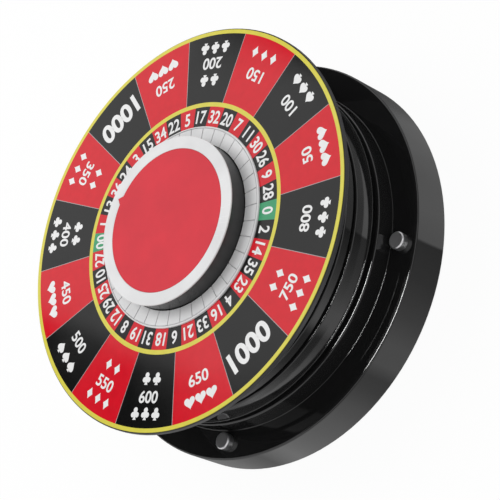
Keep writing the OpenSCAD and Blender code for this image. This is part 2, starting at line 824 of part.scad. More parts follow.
module motor_shaft() {
    color("lightsteelblue") at_motor()
        hole(motor_shaft_d / 2, deck_under_z - shaft_depth, hub_z + pinion_overhang);
}

module motor_pinion() {
    color("ivory") at_motor() difference() {
        translate([0, 0, gear_z - pinion_overhang]) rotate(180 + 180 / pinion_teeth)
            linear_extrude(gear_t + 2 * pinion_overhang) polygon(gear_outline(pinion_teeth));
        hole(motor_shaft_d / 2 + fit_gap / 2, deck_z, hub_z + 2 * pinion_overhang);
    }
}

// Boards, switches and wires
module control_board() {
    color("#1d5c34") difference() {
        translate([board_x, 0, 0]) block([board_w, board_l, board_t], board_z);
        at_board_corners() hole(small_screw_d / 2 + seat_gap, board_z - overlap, board_top_z + overlap);
    }
}

module control_chip() {
    color("#2a2a2a") translate([board_x, 0, 0]) block(chip_size, board_top_z);
}

module capacitor() {
    color("#31407c") translate([board_x + capacitor_spot.x, capacitor_spot.y, 0])
        hole(capacitor_d / 2, board_top_z, board_top_z + capacitor_h);
}

module lead_connectors() {
    color("white") for (p = connector_spots)
        translate([board_x + p.x, p.y, 0]) block(connector_size, board_top_z);
}

module board_screws() {
    color("silver") at_board_corners()
        screw(small_screw_d, small_head_d, small_head_h, board_top_z, small_thread_l, up = false);
}

module power_switch() {
    color("silver") translate([board_x, switch_y, 0]) difference() {
        block(switch_body, board_z - switch_body.z);
        block([slider_stem + 2 * seat_gap, slider_stem + slider_travel + 2 * seat_gap, switch_body.z],
            board_z - switch_body.z - slider_wall);
    }
}

module power_slider() {
    knob_top_z = board_z - switch_body.z - seat_gap;
    stem_top_z = board_z - slider_wall - seat_gap;
    color("#e0e0e0") translate([board_x, slider_start_y, 0]) {
        block([slider_knob.x, slider_knob.y, knob_top_z - base_z - seat_gap], base_z + seat_gap);
        block([slider_stem, slider_stem, stem_top_z - base_z - overlap], base_z + overlap);
    }
}

module button_board() {
    color("#1d5c34") difference() {
        pipe(button_circle + button_board_w / 2 - overlap, button_circle - button_board_w / 2,
            button_board_under_z, button_board_z);
        at_each(button_circle, button_post_angles)
            hole(small_screw_d / 2 + seat_gap, button_board_under_z - overlap, button_board_z + overlap);
    }
}

module button_board_screws() {
    color("silver") at_each(button_circle, button_post_angles)
        screw(small_screw_d, small_head_d, small_head_h, button_board_under_z, small_thread_l);
}

module tact_switches() {
    color("#3a3a3a") at_each(button_circle, button_angles) {
        block([switch_w, switch_w, switch_h - plunger_h], button_board_z);
        hole(plunger_d / 2, button_board_z + switch_h - plunger_h - overlap, button_board_z + switch_h);
    }
}

module button_spring(i) {
    start_z = button_board_z + fit_gap + spring_wire / 2;
    rise = button_collar_z - fit_gap - spring_wire / 2 - start_z;
    steps = spring_turns * spring_sides;
    path = [for (k = [0:steps]) let (a = 360 * k / spring_sides)
        [spring_r * cos(a), spring_r * sin(a), start_z + rise * k / steps]];
    color("silver") at_polar(button_circle, button_angles[i - 1]) tube(path, spring_wire / 2, 6, [0, 0, 1]);
}

module button(i) {
    top_z = flange_z + button_h;
    color("gainsboro") at_polar(button_circle, button_angles[i - 1])
        turned([[0, button_collar_z], [button_r + button_collar_w, button_collar_z],
            [button_r + button_collar_w, button_collar_z + button_collar_t],
            [button_r, button_collar_z + button_collar_t], [button_r, top_z - button_chamfer],
            [button_r - button_chamfer, top_z], [0, top_z]]);
}

module battery_leads() {
    color("red") wire_pair(battery_route, 4);
}

module motor_leads() {
    color("blue") wire_pair(motor_route, 4);
}

module button_leads() {
    color("yellow") wire_pair(button_route, 4);
}

// Batteries lie along Y with their poles turned about, one by one
module at_cell(i) {
    translate([box_x + (i - 2) * cell_pitch, 0, cell_z]) rotate([0, 0, i % 2 == 0 ? 180 : 0])
        translate([0, -box_in_l / 2, 0]) rotate([-90, 0, 0]) children();
}

module battery(i) {
    start = contact_tip + fit_gap;
    color("#3a5a3f") at_cell(i) {
        hole(cell_d / 2, start, start + cell_l - cell_cap_h);
        hole(cell_cap_d / 2, start, start + cell_l);
    }
}

module negative_contacts() {
    color("silver") for (i = [1:cell_count]) at_cell(i) {
        block([contact_w, contact_h, contact_t], 0);
        turned([[contact_coil_r - contact_wire, 0], [contact_coil_r, 0], [contact_tip_r, contact_tip],
            [contact_tip_r - contact_wire, contact_tip]]);
    }
}

module positive_contacts() {
    color("silver") for (i = [1:cell_count])
        at_cell(i) block([contact_w, contact_h, contact_t], box_in_l - contact_t);
}

// Wheel
module platter() {
    bore_r = bush_r + fit_gap / 2;
    color("#1c1c1e") difference() {
        union() {
            turned(concat([[bore_r, hub_z], [hub_r, hub_z], [hub_r, web_z], [platter_r - wall, web_z],
                    [platter_r - wall, ledge_z - wall], [skirt_r - wall, ledge_z - wall],
                    [skirt_r - wall, skirt_z]],
                arc([skirt_r - skirt_edge_r, skirt_z + skirt_edge_r], skirt_edge_r, 270, 360),
                arc([skirt_r - ring_edge_r, ledge_z - ring_edge_r], ring_edge_r, 0, 90),
                [[platter_r, ledge_z], [platter_r, disc_z], [bore_r, disc_z]]));
            for (i = [0:rib_count - 1]) rotate(360 * i / rib_count)
                translate([hub_r - overlap, -rib_t / 2, web_z - rib_h])
                    cube([platter_r - wall / 2 - hub_r + overlap, rib_t, rib_h + web_t / 2]);
        }
        at_each(ring_peg_circle, ring_peg_angles)
            hole(small_screw_d / 2 + seat_gap, web_z - overlap, disc_z + overlap);
        at_each(gear_screw_circle, gear_screw_angles)
            hole(small_screw_d / 2 + fit_gap, hub_z - overlap, hub_z + small_thread_l + seat_gap);
    }
}

module disc_plate() {
    top_z = disc_z + disc_t;
    color("#2b2b2d") difference() {
        turned(concat([[disc_bore_r, disc_z]],
            arc([disc_r - disc_edge_r, disc_z + disc_edge_r], disc_edge_r, 270, 360),
            arc([disc_r - disc_edge_r, top_z - disc_edge_r], disc_edge_r, 0, 90), [[disc_bore_r, top_z]]));
        at_each(ring_peg_circle, ring_peg_angles) hole(face_hole_d / 2, disc_z - overlap, face_z);
    }
}

module printed_face() {
    color("#b8353f") difference() {
        pipe(face_d / 2, disc_bore_r, disc_z + disc_t, face_z);
        at_each(ring_peg_circle, ring_peg_angles) hole(face_hole_d / 2, disc_z, face_z + overlap);
    }
}

module pocket_ring() {
    edge_r = pocket_h / 2;
    groove_z = face_z + pocket_inner_h - pocket_groove_depth;
    rim_in_r = pocket_r - pocket_rim_w;
    color("gainsboro") difference() {
        union() {
            turned(concat([[pocket_bore_r, face_z], [pocket_r, face_z]],
                arc([pocket_r - edge_r, face_z + pocket_h - edge_r], edge_r, 0, 90),
                [[pocket_bore_r, face_z + pocket_inner_h]]));
            at_each(ring_peg_circle, ring_peg_angles)
                hole(ring_peg_d / 2, disc_z, face_z + pocket_inner_h / 2);
        }
        for (i = [0:pocket_count - 1]) rotate(pocket_angle + 360 * i / pocket_count)
            translate([pocket_bore_r - overlap, -pocket_groove_w / 2, groove_z])
                cube([pocket_w - pocket_rim_w + overlap, pocket_groove_w, pocket_h]);
        pipe(rim_in_r, rim_in_r - rim_groove_w, groove_z, face_z + pocket_h + overlap);
        at_each(ring_peg_circle, ring_peg_angles) hole(small_screw_d / 2 + fit_gap, disc_z - overlap, face_z);
    }
}

module disc_screws() {
    color("silver") at_each(ring_peg_circle, ring_peg_angles)
        screw(small_screw_d, small_head_d, small_head_h, web_z, web_t + disc_t);
}

module drive_gear() {
    color("ivory") difference() {
        translate([0, 0, gear_z]) rotate(motor_angle)
            linear_extrude(gear_t) polygon(gear_outline(wheel_teeth));
        hole(bush_r + fit_gap / 2, gear_z - overlap, hub_z + overlap);
        at_each(gear_screw_circle, gear_screw_angles) {
            hole(small_screw_d / 2 + seat_gap, gear_z - overlap, hub_z + overlap);
            hole(small_head_d / 2 + seat_gap, gear_z - overlap, gear_seat_z);
        }
    }
}

module gear_screws() {
    color("silver") at_each(gear_screw_circle, gear_screw_angles)
        screw(small_screw_d, small_head_d, small_head_h, gear_seat_z, hub_z + small_thread_l - gear_seat_z);
}

module lower_bush() {
    bore_r = spindle_r + running_fit;
    flange_r = bush_r + bush_flange_w;
    top_z = bush_z + lower_bush_l;
    color("peru") turned([[bore_r, bush_z], [flange_r, bush_z], [flange_r, gear_z], [bush_r, gear_z],
        [bush_r, top_z], [bore_r, top_z]]);
}

module upper_bush() {
    color("peru") pipe(bush_r, spindle_r + running_fit, disc_z - upper_bush_l, disc_z);
}

base_shell();
upper_housing();
bottom_cover();
battery_door();
door_screw();
rubber_feet();
case_screws();
spindle();
spindle_nut();
thrust_washer();
top_washer();
spindle_clip();
knob_drum();
knob_cap();
knob_inlay();
knob_screw();
motor_can();
motor_end_cap();
motor_screws();
control_board();
control_chip();
capacitor();
lead_connectors();
board_screws();
power_switch();
button_board();
button_board_screws();
tact_switches();
button_spring(1);  // button_spring_1
button_spring(2);  // button_spring_2
button_spring(3);  // button_spring_3
button_spring(4);  // button_spring_4
battery(1);  // battery_1
battery(2);  // battery_2
battery(3);  // battery_3
negative_contacts();
positive_contacts();
battery_leads();
motor_leads();
button_leads();
platter();
disc_plate();
printed_face();
pocket_ring();
disc_screws();
drive_gear();
gear_screws();
lower_bush();
upper_bush();
motor_shaft();
motor_pinion();
button(1);  // button_1
button(2);  // button_2
button(3);  // button_3
button(4);  // button_4
power_slider();
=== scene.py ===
import json
import math

import bpy
import numpy as np
from mathutils import Matrix, Vector


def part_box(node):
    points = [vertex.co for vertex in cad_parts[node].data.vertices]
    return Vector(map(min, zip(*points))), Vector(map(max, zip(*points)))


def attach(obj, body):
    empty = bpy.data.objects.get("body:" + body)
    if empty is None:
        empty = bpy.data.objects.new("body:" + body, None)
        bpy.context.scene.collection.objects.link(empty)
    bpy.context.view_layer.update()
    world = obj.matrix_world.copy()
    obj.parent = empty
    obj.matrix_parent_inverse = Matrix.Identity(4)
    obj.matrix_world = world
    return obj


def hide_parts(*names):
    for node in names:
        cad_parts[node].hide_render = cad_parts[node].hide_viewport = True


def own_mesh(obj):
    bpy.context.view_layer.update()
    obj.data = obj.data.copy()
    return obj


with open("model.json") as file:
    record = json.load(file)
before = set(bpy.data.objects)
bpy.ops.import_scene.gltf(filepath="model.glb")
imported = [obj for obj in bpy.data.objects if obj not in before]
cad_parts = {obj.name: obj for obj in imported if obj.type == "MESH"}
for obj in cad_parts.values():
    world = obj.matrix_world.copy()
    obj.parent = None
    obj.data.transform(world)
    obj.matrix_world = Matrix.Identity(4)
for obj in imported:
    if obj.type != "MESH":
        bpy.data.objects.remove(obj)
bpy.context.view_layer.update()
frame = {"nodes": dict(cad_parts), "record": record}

# Sizes in millimetres, as the solids have them
MM = 0.001
FACE_Z = 77.2
FACE_THICKNESS = 0.3
FACE_EDGE_R = 104.8
FACE_BORE_R = 13.0
INK_LIFT = 0.03

# Print: rings, sectors and number fields
NUMBER_IN_R = 50.0
RING_IN_R = 63.4
RING_OUT_R = 65.7
RIM_IN_R = 102.7
SECTOR_COUNT = 16
SECTOR_START = 8.6
SECTOR_LINE = 0.28
FIELD_COUNT = 38
FIELD_START = 7.4
WHEEL_ORDER = ["0", "2", "14", "35", "23", "4", "16", "33", "21", "6", "18", "31", "19", "8", "12", "29",
               "25", "10", "27", "00", "1", "13", "36", "24", "3", "15", "34", "22", "5", "17", "32", "20",
               "7", "11", "30", "26", "9", "28"]

# Buttons
BUTTON_COUNT = 4
BUTTON_R = 4.45
BUTTON_CHAMFER = 0.6
BUTTON_COLLAR = 1.0
EDGE_ROUNDING = 0.12

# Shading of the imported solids
CORNER_ANGLE = 28.0
WELD_DISTANCE = 0.000001

# Surface detail of the materials: noise scales per metre, shares of a colour, and shares of roughness
MOTTLE_SCALE = 60.0
MOTTLE_SHARES = (0.94, 1.06)
SMUDGE_SCALE = 14.0
SMUDGE_LOW = -0.75
SCRATCH_SCALE = 90.0
SCRATCH_STRETCH = (1.0, 14.0, 3.0)
SCRATCH_WINDOW = (0.6, 0.8)
WEAR_SHARE = 0.6
EDGE_WINDOW = (0.80, 0.995)
EDGE_SAMPLES = 4
GRAIN_DEPTH = 0.0002
INK_MOTTLE_SCALE = 220.0
INK_MOTTLE_SHARES = (0.96, 1.04)
VARNISH_SCALE = 25.0
VARNISH_SPREAD = (-0.04, 0.06)
SHEET_GRAIN_SCALE = 2600.0
SHEET_GRAIN = 0.03
SHEET_GRAIN_DEPTH = 0.0001

# Figures and pips on the print
NUMBER_R = 57.9
NUMBER_HEIGHT = 6.9
NUMBER_CONDENSE = 0.857
NUMBER_WEIGHT = 0.021
SECTOR_LINES = (2, 2, 2, 3, 2, 1, 3, 3, 2, 2, 3, 3, 2, 1, 3, 2)
SECTOR_STEP = 50
SUITS = "hsdc"
ROW_RADII = {2: (83.5, 94.3), 3: (77.8, 87.0, 95.4)}
ROW_HEIGHT = 6.3
ROW_CONDENSE = 1.05
ROW_WEIGHT = 0.02
BIG_VALUE = "1000"
BIG_R = 87.3
BIG_HEIGHT = 12.0
BIG_CONDENSE = 0.97
BIG_WEIGHT = 0.035
PIP_STEPS = 60
PIP_PITCH = 1.15

# Camera, from the photograph's perspective
CAMERA_PLACE = (0.7023, -0.2744, 0.7350)
CAMERA_RIGHT = (0.7301, 0.1410, -0.6686)
CAMERA_UP = (0.0828, 0.9530, 0.2915)
CAMERA_BACK = (0.6783, -0.2682, 0.6841)
CAMERA_LENS = 144.8
CAMERA_SENSOR = 36.0
CAMERA_CLIP = (0.05, 50.0)

# Stage and light, in metres and watts
FLOOR_HALF = 6.0
FLOOR_TONE = (0.9, 0.9, 0.9, 1.0)
FLOOR_ROUGHNESS = 0.9
FLOOR_SPECULAR = 0.1
FLOOR_LIFT = 0.95
FLOOR_GLOSS_LIFT = 0.35
WORLD_LIGHT = 0.72
WORLD_GLOSS = 0.90
KEY_PLACE = (-0.57, 0.21, 1.15)
KEY_SIZE = 0.8
KEY_POWER = 5.9
AIM = (0, 0, 0.05)
STRIP_COUNT = 5
STRIP_AZIMUTH = -24.6
STRIP_PITCH = 13.0
STRIP_LEVEL = 0.559
STRIP_HEIGHT = 0.879
STRIP_LENGTH = 0.131
STRIP_WIDTH = 0.24
STRIP_POWER = 3.0
STRIP_RECEIVERS = ("base_shell", "upper_housing", "platter")
SOFT_AZIMUTHS = (-65, -22, 21)
SOFT_LEVEL = 0.75
SOFT_HEIGHT = 0.75
SOFT_SIZE = (0.62, 0.5)
SOFT_POWER = 1.0
CEILING_Z = 1.5
CEILING_X = (-0.35, 2.5)
CEILING_HALF = 2.5
CARD_TONE = 0.01
CARD_DISTANCE = 0.9
CARD_EDGES = (-0.184, 0.13)
CARD_WIDTH = 0.8
CARD_HALF = 0.8
# Glow of the floor card by angle round the wheel: painted reflections for the glossy wall
FLOOR_CARD_GLOWS = ((68, 0.06), (55, 0.10), (47, 0.20), (40, 0.42), (30, 0.61), (20, 0.74), (10, 0.95),
               (1.2, 0.95), (0.8, 0.24), (-10, 0.35), (-20, 0.60), (-28, 0.95), (-34, 0.95), (-38, 0.50),
               (-42, 0.55), (-48, 0.80), (-55, 0.95), (-72, 0.95), (-80, 0.40), (-90, 0.38), (-100, 0.25),
               (-111, 0.10))
FAR_SHARES = ((20, 0.40), (10, 0.30), (0, 0.33), (-8, 0.65), (-20, 0.95), (-32, 1.0), (-38, 0.33),
              (-50, 0.25), (-60, 0.55), (-80, 1.0))
FLOOR_CARD_START = 0.106
FLOOR_CARD_SPLIT = 0.026
FLOOR_CARD_REACH = 0.150
FLOOR_CARD_LIFT = 0.0003
FLOOR_CARD_STEP = 0.4
FLAG_RADII = (0.1040, 0.130)
FLAG_ANGLES = (70, 80, 90, 100, 115)
FLAG_Z = 0.0745


# Materials
class Shader:
    """A material's node tree, with short calls to add and join nodes."""

    def __init__(self, name):
        self.material = bpy.data.materials.new(name)
        self.material.use_nodes = True
        self.tree = self.material.node_tree
        self.surface = self.tree.nodes["Principled BSDF"]
        self.place = self.add("ShaderNodeTexCoord").outputs["Object"]

    def add(self, kind, **settings):
        node = self.tree.nodes.new(kind)
        for key, value in settings.items():
            setattr(node, key, value)
        return node

    def join(self, output, socket):
        self.tree.links.new(output, socket)

    def noise(self, scale, detail=3.0, stretch=None):
        node = self.add("ShaderNodeTexNoise")
        node.inputs["Scale"].default_value = scale
        node.inputs["Detail"].default_value = detail
        if stretch is None:
            self.join(self.place, node.inputs["Vector"])
        else:
            mapping = self.add("ShaderNodeMapping")
            mapping.inputs["Scale"].default_value = stretch
            self.join(self.place, mapping.inputs["Vector"])
            self.join(mapping.outputs["Vector"], node.inputs["Vector"])
        return node.outputs["Fac"]

    def remap(self, value, low, high, start=0.3, end=0.7):
        node = self.add("ShaderNodeMapRange")
        self.join(value, node.inputs["Value"])
        node.inputs["From Min"].default_value = start
        node.inputs["From Max"].default_value = end
        node.inputs["To Min"].default_value = low
        node.inputs["To Max"].default_value = high
        return node.outputs["Result"]

    def math(self, operation, first, second):
        node = self.add("ShaderNodeMath", operation=operation)
        for socket, value in zip(node.inputs, (first, second)):
            if isinstance(value, (int, float)):
                socket.default_value = value
            else:
                self.join(value, socket)
        return node.outputs["Value"]

    def mix(self, factor, first, second):
        node = self.add("ShaderNodeMix", data_type="RGBA")
        colours = [s for s in node.inputs if s.type == "RGBA"]
        for socket, value in zip([node.inputs["Factor"], *colours], (factor, first, second)):
            if isinstance(value, (int, float)):
                socket.default_value = value
            elif isinstance(value, tuple):
                socket.default_value = (*value, 1.0)
            else:
                self.join(value, socket)
        return next(s for s in node.outputs if s.type == "RGBA")

    def rounded_normal(self, radius):
        node = self.add("ShaderNodeBevel", samples=EDGE_SAMPLES)
        node.inputs["Radius"].default_value = radius
        return node.outputs["Normal"]

    def edge_mask(self, rounded):
        flat = self.add("ShaderNodeNewGeometry").outputs["True Normal"]
        node = self.add("ShaderNodeVectorMath", operation="DOT_PRODUCT")
        self.join(rounded, node.inputs[0])
        self.join(flat, node.inputs[1])
        return self.remap(node.outputs["Value"], 1.0, 0.0, *EDGE_WINDOW)

    def bump(self, height, strength, distance, normal=None):
        node = self.add("ShaderNodeBump")
        node.inputs["Strength"].default_value = strength
        node.inputs["Distance"].default_value = distance
        self.join(height, node.inputs["Height"])
        if normal is not None:
            self.join(normal, node.inputs["Normal"])
        return node.outputs["Normal"]


def scaled(colour, factor):
    return tuple(min(1.0, c * factor) for c in colour)


def moulded(name, colour, roughness, grain=0.04, grain_scale=1500.0, specular=0.5, wear=1.25, edge=0.0003,
            metallic=0.0, smudge=0.04, scratch=0.05):
    """Moulded or turned surface: mottled colour, smudged gloss, fine grain, and worn, rounded edges."""
    shader = Shader(name)
    surface = shader.surface
    rounded = shader.rounded_normal(edge)
    mottle = shader.remap(shader.noise(MOTTLE_SCALE), 0.0, 1.0)
    body = shader.mix(mottle, *(scaled(colour, share) for share in MOTTLE_SHARES))
    rubbed = shader.math("MULTIPLY", shader.edge_mask(rounded), WEAR_SHARE)
    shader.join(shader.mix(rubbed, body, scaled(colour, wear)), surface.inputs["Base Color"])
    touched = shader.remap(shader.noise(SMUDGE_SCALE, 4.0), SMUDGE_LOW * smudge, smudge)
    marks = shader.remap(shader.noise(SCRATCH_SCALE, 2.0, SCRATCH_STRETCH), 0.0, scratch, *SCRATCH_WINDOW)
    gloss = shader.math("ADD", shader.math("ADD", touched, marks), roughness)
    shader.join(gloss, surface.inputs["Roughness"])
    grains = shader.bump(shader.noise(grain_scale, 2.0), grain, GRAIN_DEPTH, rounded)
    shader.join(grains, surface.inputs["Normal"])
    surface.inputs["Metallic"].default_value = metallic
    surface.inputs["Specular IOR Level"].default_value = specular
    return shader.material


def inked(name, colour, roughness=0.12):
    """Printed ink on a plastic sheet: faint mottle in the colour and a slightly uneven varnish."""
    shader = Shader(name)
    surface = shader.surface
    mottle = shader.remap(shader.noise(INK_MOTTLE_SCALE, 5.0), 0.0, 1.0)
    shader.join(shader.mix(mottle, *(scaled(colour, share) for share in INK_MOTTLE_SHARES)),
                surface.inputs["Base Color"])
    varnish = (roughness + part for part in VARNISH_SPREAD)
    shader.join(shader.remap(shader.noise(VARNISH_SCALE, 4.0), *varnish), surface.inputs["Roughness"])
    shader.join(shader.bump(shader.noise(SHEET_GRAIN_SCALE, 2.0), SHEET_GRAIN, SHEET_GRAIN_DEPTH),
                surface.inputs["Normal"])
    return shader.material


GLOSS_BLACK = moulded("gloss_black", (0.011, 0.011, 0.0112), 0.045, grain=0.002, specular=0.57, wear=2.5,
                      edge=0.00015, smudge=0.015, scratch=0.02)
SATIN_BLACK = moulded("satin_black", (0.020, 0.020, 0.021), 0.45, grain=0.12)
DISC_EDGE = moulded("disc_edge", (0.030, 0.030, 0.032), 0.30, grain=0.04, wear=2.0)
PALE_RING = moulded("pale_ring", (0.78, 0.78, 0.785), 0.32, grain=0.03, wear=1.05)
CHARCOAL = moulded("charcoal", (0.010, 0.010, 0.0105), 0.28, grain=0.03, specular=0.8, wear=1.3)
WHITE_CAP = moulded("white_cap", (0.76, 0.76, 0.765), 0.25, grain=0.03, wear=1.04)
RED_INLAY = moulded("red_inlay", (0.65, 0.016, 0.034), 0.22, grain=0.04, wear=1.1)
CHROME = moulded("chrome", (0.62, 0.62, 0.63), 0.33, grain=0.01, metallic=1.0, wear=1.1)
SATIN_TOP = moulded("satin_top", (0.60, 0.60, 0.61), 0.50, grain=0.06, metallic=1.0, wear=1.1, scratch=0.1)
STEEL = moulded("steel", (0.52, 0.53, 0.54), 0.32, grain=0.05, metallic=1.0, scratch=0.12)
BRONZE = moulded("bronze", (0.47, 0.27, 0.11), 0.38, grain=0.10, metallic=1.0)
NYLON = moulded("nylon", (0.72, 0.69, 0.60), 0.46, grain=0.06, wear=1.05)
RUBBER = moulded("rubber", (0.018, 0.018, 0.018), 0.72, grain=0.30, grain_scale=900.0)
BOARD = moulded("board", (0.010, 0.090, 0.030), 0.30, grain=0.06)
CHIP = moulded("chip", (0.018, 0.018, 0.020), 0.55, grain=0.20)
CAN_SLEEVE = moulded("can_sleeve", (0.020, 0.035, 0.150), 0.28)
CONNECTOR = moulded("connector", (0.74, 0.72, 0.66), 0.44)
CELL_SLEEVE = moulded("cell_sleeve", (0.030, 0.100, 0.040), 0.26, grain=0.02)
WIRE_RED = moulded("wire_red", (0.40, 0.015, 0.015), 0.48)
WIRE_BLUE = moulded("wire_blue", (0.015, 0.030, 0.30), 0.48)
WIRE_YELLOW = moulded("wire_yellow", (0.60, 0.38, 0.02), 0.48)
SLIDER = moulded("slider", (0.50, 0.50, 0.51), 0.44)
SLOT_LOOKS = {"gloss_black": GLOSS_BLACK, "satin_black": SATIN_BLACK, "disc": DISC_EDGE,
              "pale_ring": PALE_RING, "charcoal": CHARCOAL, "white_cap": WHITE_CAP, "red_inlay": RED_INLAY,
              "chrome": CHROME, "steel": STEEL, "bronze": BRONZE, "nylon": NYLON, "rubber": RUBBER,
              "board": BOARD, "chip": CHIP, "can_sleeve": CAN_SLEEVE, "connector": CONNECTOR,
              "cell_sleeve": CELL_SLEEVE, "wire_red": WIRE_RED, "wire_blue": WIRE_BLUE,
              "wire_yellow": WIRE_YELLOW, "slider": SLIDER}
INK_BLACK = inked("ink_black", (0.006, 0.006, 0.006))
INK_RED = inked("ink_red", (0.64, 0.007, 0.019))
INK_YELLOW = inked("ink_yellow", (0.69, 0.625, 0.085))
INK_GREEN = inked("ink_green", (0.050, 0.33, 0.155))
INK_WHITE = inked("ink_white", (0.82, 0.82, 0.82))
INK_GREY = inked("ink_grey", (0.42, 0.42, 0.42))
INKS = [INK_BLACK, INK_RED, INK_YELLOW, INK_GREEN, INK_WHITE, INK_GREY]
BLACK, RED, YELLOW, GREEN, WHITE, GREY = range(6)

for entry in frame["record"]["subparts"]:
    node = frame["nodes"][entry["node"]]
    look = SLOT_LOOKS.get(entry["material_slot"])
    if look is not None:
        node.data.materials.clear()
        node.data.materials.append(look)


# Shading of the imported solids: rounded edges run smoothly into their faces, real corners stay sharp
def smooth_rounds(name):
    group = bpy.data.node_groups.new(name, "GeometryNodeTree")
    for direction in ("INPUT", "OUTPUT"):
        group.interface.new_socket("Geometry", in_out=direction, socket_type="NodeSocketGeometry")
    entry = group.nodes.new("NodeGroupInput")
    weld = group.nodes.new("GeometryNodeMergeByDistance")
    weld.inputs["Distance"].default_value = WELD_DISTANCE
    angle = group.nodes.new("GeometryNodeInputMeshEdgeAngle")
    corner = group.nodes.new("FunctionNodeCompare")
    corner.operation = "GREATER_THAN"
    corner.inputs["B"].default_value = math.radians(CORNER_ANGLE)
    shade = group.nodes.new("GeometryNodeSetMeshNormal")
    leave = group.nodes.new("NodeGroupOutput")
    for output, socket in ((entry.outputs["Geometry"], weld.inputs["Geometry"]),
                           (weld.outputs["Geometry"], shade.inputs["Mesh"]),
                           (angle.outputs["Unsigned Angle"], corner.inputs["A"]),
                           (corner.outputs["Result"], shade.inputs["Edge Sharpness"]),
                           (shade.outputs["Mesh"], leave.inputs["Geometry"])):
        group.links.new(output, socket)
    return group


rounds = smooth_rounds("smooth_rounds")
for node in frame["nodes"].values():
    node.modifiers.new("rounds", "NODES").node_group = rounds
    weighted = node.modifiers.new("flat_faces", "WEIGHTED_NORMAL")
    weighted.keep_sharp = True


# Mesh helpers
def mesh_piece(name, points, faces, looks, body, indices=None, smooth=False):
    """A new piece from points in millimetres, riding on a body."""
    mesh = bpy.data.meshes.new(name)
    mesh.from_pydata([tuple(c * MM for c in p) for p in points], [], faces)
    for look in looks:
        mesh.materials.append(look)
    if indices is not None:
        mesh.polygons.foreach_set("material_index", indices)
    mesh.polygons.foreach_set("use_smooth", [smooth] * len(faces))
    mesh.update()
    piece = bpy.data.objects.new(name, mesh)
    bpy.context.scene.collection.objects.link(piece)
    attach(piece, body)
    return piece


def polar(radius, angle, z):
    a = math.radians(angle)
    return (radius * math.cos(a), radius * math.sin(a), z)


class Sheet:
    """Flat faces collected into one mesh, each with its own ink."""

    def __init__(self, z):
        self.z = z
        self.points = []
        self.faces = []
        self.inks = []

    def add(self, points, faces, ink):
        start = len(self.points)
        self.points.extend(points)
        self.faces.extend([tuple(start + i for i in f) for f in faces])
        self.inks.extend([ink] * len(faces))

    def cell(self, r0, r1, a0, a1, ink, step=0.75):
        count = max(1, math.ceil((a1 - a0) / step))
        points = []
        for i in range(count + 1):
            angle = a0 + (a1 - a0) * i / count
            points.append(polar(r0, angle, self.z))
            points.append(polar(r1, angle, self.z))
        faces = [(2 * i, 2 * i + 1, 2 * i + 3, 2 * i + 2) for i in range(count)]
        self.add(points, faces, ink)

    def line(self, r0, r1, angle, width, ink):
        half0 = math.degrees(width / 2 / r0)
        half1 = math.degrees(width / 2 / r1)
        points = [polar(r0, angle - half0, self.z), polar(r1, angle - half1, self.z),
                  polar(r1, angle + half1, self.z), polar(r0, angle + half0, self.z)]
        self.add(points, [(0, 1, 2, 3)], ink)

    def wall(self, radius, depth, ink, count=480):
        points = []
        for i in range(count):
            points.append(polar(radius, 360 * i / count, self.z))
            points.append(polar(radius, 360 * i / count, self.z - depth))
        total = 2 * count
        faces = [(i, i + 1, (i + 3) % total, (i + 2) % total) for i in range(0, total, 2)]
        self.add(points, faces, ink)


# Printed sheet
def field_ink(place):
    if WHEEL_ORDER[place] in ("0", "00"):
        return GREEN
    return RED if place % 2 == 0 else BLACK


def field_middle(place):
    return FIELD_START - 360 / FIELD_COUNT * (place + 0.5)


sheet = Sheet(FACE_Z)
sheet.cell(FACE_BORE_R, NUMBER_IN_R, 0, 360, BLACK)
for place in range(FIELD_COUNT):
    middle = field_middle(place)
    half = 180 / FIELD_COUNT
    sheet.cell(NUMBER_IN_R, RING_IN_R, middle - half, middle + half, field_ink(place))
sheet.cell(RING_IN_R, RING_OUT_R, 0, 360, YELLOW)
for k in range(SECTOR_COUNT):
    start = SECTOR_START + 360 / SECTOR_COUNT * k
    sheet.cell(RING_OUT_R, RIM_IN_R, start, start + 360 / SECTOR_COUNT, RED if k % 2 == 0 else BLACK)
sheet.cell(RIM_IN_R, FACE_EDGE_R, 0, 360, YELLOW)
sheet.wall(FACE_EDGE_R, FACE_THICKNESS, YELLOW)
face = mesh_piece("print_sheet", sheet.points, sheet.faces, INKS, "wheel", sheet.inks)
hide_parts("printed_face")

lines = Sheet(FACE_Z + INK_LIFT)
for k in range(SECTOR_COUNT):
    lines.line(RING_OUT_R, RIM_IN_R, SECTOR_START + 360 / SECTOR_COUNT * k, SECTOR_LINE, GREY)


# Words and signs as flat outlines
def text_outline(body, height, condense, weight):
    """Points and faces of a line of figures, its middle at the origin, its foot towards -Y."""
    curve = bpy.data.curves.new("figures", "FONT")
    curve.body = body
    curve.align_x = "CENTER"
    curve.size = 1.0
    curve.offset = weight
    holder = bpy.data.objects.new("figures", curve)
    bpy.context.scene.collection.objects.link(holder)
    bpy.context.view_layer.update()
    mesh = bpy.data.meshes.new_from_object(holder.evaluated_get(bpy.context.evaluated_depsgraph_get()))
    points = np.array([v.co[:2] for v in mesh.vertices], float)
    faces = [tuple(p.vertices) for p in mesh.polygons]
    bpy.data.objects.remove(holder)
    bpy.data.curves.remove(curve)
    bpy.data.meshes.remove(mesh)
    low, high = points.min(0), points.max(0)
    points = (points - (low + high) / 2) * height / (high[1] - low[1])
    points[:, 0] *= condense
    return points, faces


def stamp(target, outline, radius, angle, ink, outward_top):
    """Sets an outline on the face: its foot or its top points outwards."""
    points, faces = outline
    turn = math.radians(angle) + (-math.pi / 2 if outward_top else math.pi / 2)
    c, s = math.cos(turn), math.sin(turn)
    x0, y0, _ = polar(radius, angle, 0)
    placed = [(x0 + c * x - s * y, y0 + s * x + c * y, target.z) for x, y in points]
    target.add(placed, faces, ink)


